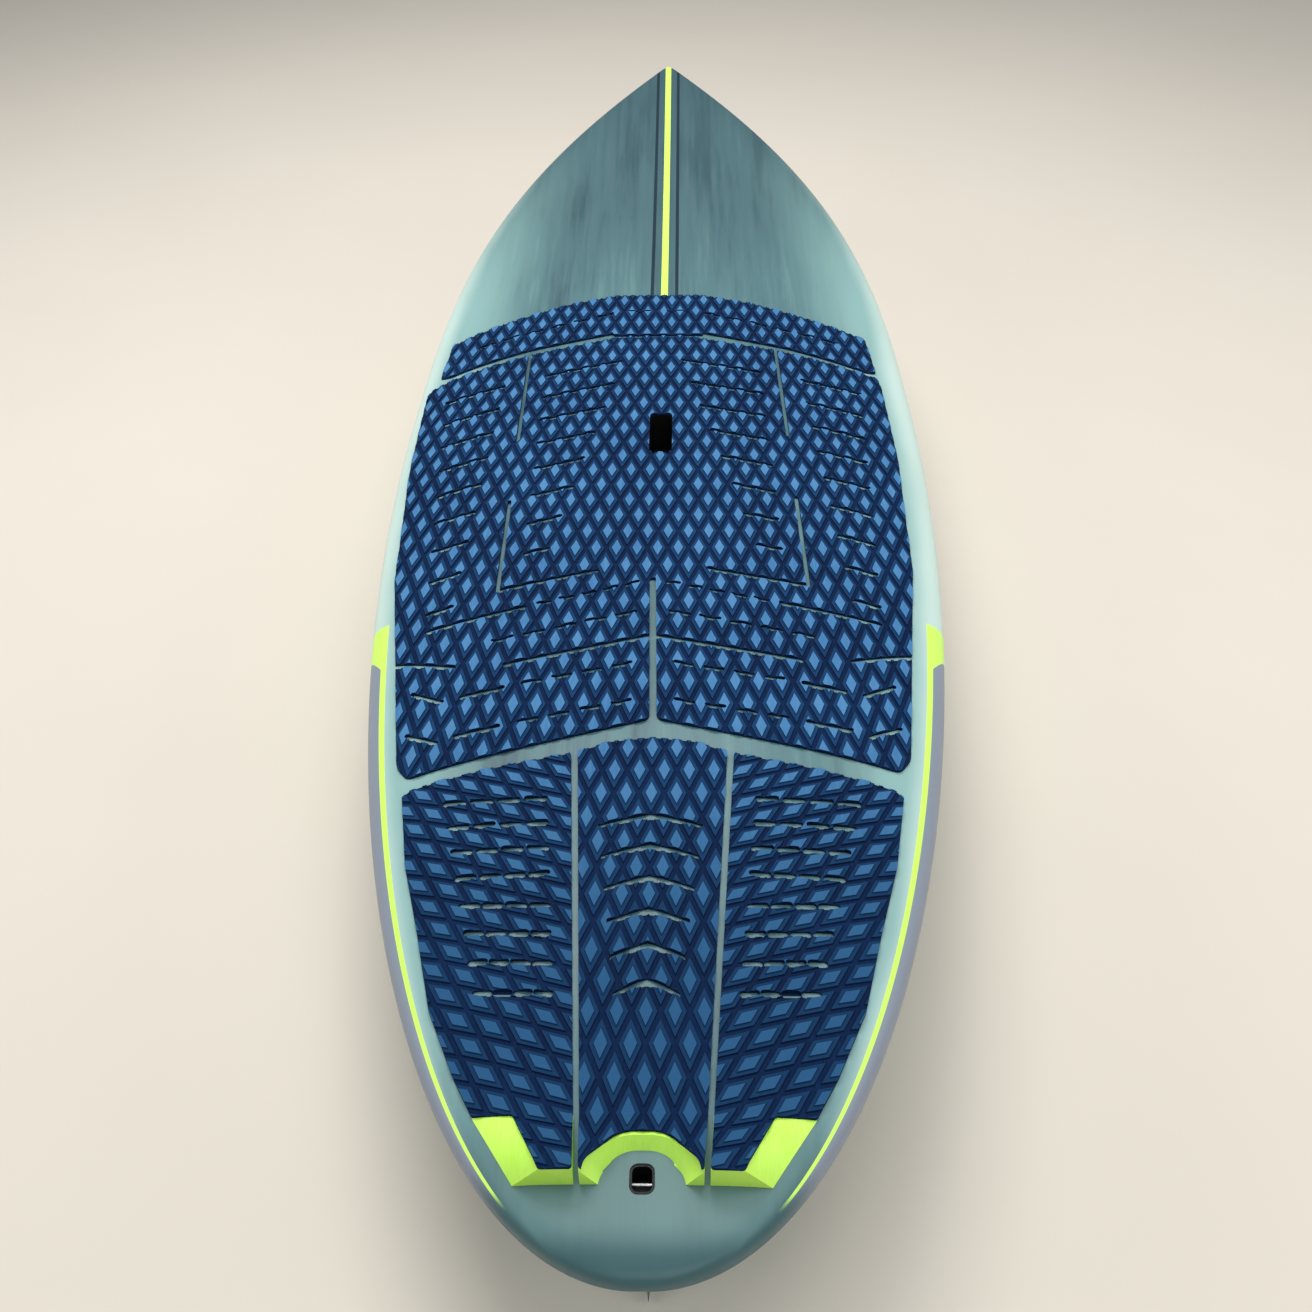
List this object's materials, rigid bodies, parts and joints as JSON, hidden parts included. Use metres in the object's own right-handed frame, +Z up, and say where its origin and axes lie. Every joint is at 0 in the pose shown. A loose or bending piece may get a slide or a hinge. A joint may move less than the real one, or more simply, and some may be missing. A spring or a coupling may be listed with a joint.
{
  "type": "stand-up paddle surf board",
  "caption": "Pointed-nose stand-up paddle surf board with a full EVA traction deck, raised tail kick, carry handle slot, leash plug and slide-in centre fin.",
  "frame": {"origin": "on the flat of the hull's bottom, half way along the board, on its centreline", "axes": "+Z up through the deck, +Y towards the nose, +X to the rider's right"},
  "size_m": [0.758, 2.44, 0.3856],
  "materials": {
    "eps_foam": "closed-cell white foam",
    "stringer_wood": "bare light wood",
    "deck_paint": "brushed teal lacquer over laminate, semi-gloss",
    "hull_paint": "pale mint lacquer over laminate, gloss",
    "handle_plastic": "black moulded plastic",
    "vent_plastic": "black moulded plastic",
    "o_ring_rubber": "black rubber",
    "plug_plastic": "black moulded plastic",
    "stainless": "satin stainless",
    "eva_blue": "diamond-cut navy and mid-blue EVA foam",
    "eva_lime": "cut lime EVA foam",
    "fin_box_plastic": "dark moulded plastic",
    "fin_composite": "teal glass-fibre laminate",
    "brass": "plain brass"
  },
  "bodies": {
    "board": {"core_left": "eps_foam", "core_right": "eps_foam", "stringer_left": "stringer_wood", "stringer_right": "stringer_wood", "infill_nose": "eps_foam", "infill_mid": "eps_foam", "handle_bed": "eps_foam", "plug_bed": "eps_foam", "deck_skin": "deck_paint", "bottom_skin": "hull_paint", "handle_cup": "handle_plastic", "vent_body": "vent_plastic", "leash_cup": "plug_plastic", "leash_bar": "stainless", "front_pad": "eva_blue", "main_pad": "eva_blue", "tail_pad_left": "eva_blue", "tail_pad_centre": "eva_blue", "tail_pad_right": "eva_blue", "kick_left": "eva_lime", "kick_centre": "eva_lime", "kick_right": "eva_lime", "fin_box_centre": "fin_box_plastic", "fin_box_left": "fin_box_plastic", "fin_box_right": "fin_box_plastic", "fin_left": "fin_composite", "fin_right": "fin_composite", "fin_screw_left": "stainless", "fin_screw_right": "stainless"},
    "vent_ring": {"vent_o_ring": "o_ring_rubber"},
    "vent_screw_plug": {"vent_plug": "vent_plastic"},
    "centre_fin": {"fin_centre": "fin_composite", "fin_pin": "brass", "fin_plate": "stainless", "fin_screw": "stainless"}
  },
  "joints": [
    {"name": "centre_fin_slide", "type": "slide", "parent": "board", "child": "centre_fin", "axis": [0, 0.9976, -0.0693], "range_m": [-0.035, 0.02]},
    {"name": "vent_rise", "type": "slide", "parent": "board", "child": "vent_ring", "axis": [0, 0, 1], "range_m": [0, 0.0025]},
    {"name": "vent_turn", "type": "hinge", "parent": "vent_ring", "child": "vent_screw_plug", "pos_m": [0, -0.08, 0.05657], "axis": [0, 0, 1], "range_deg": [0, 720]}
  ],
  "couplings": [
    {"joint": "vent_turn", "follows": "vent_rise", "rad_per_m": 5026.5}
  ]
}
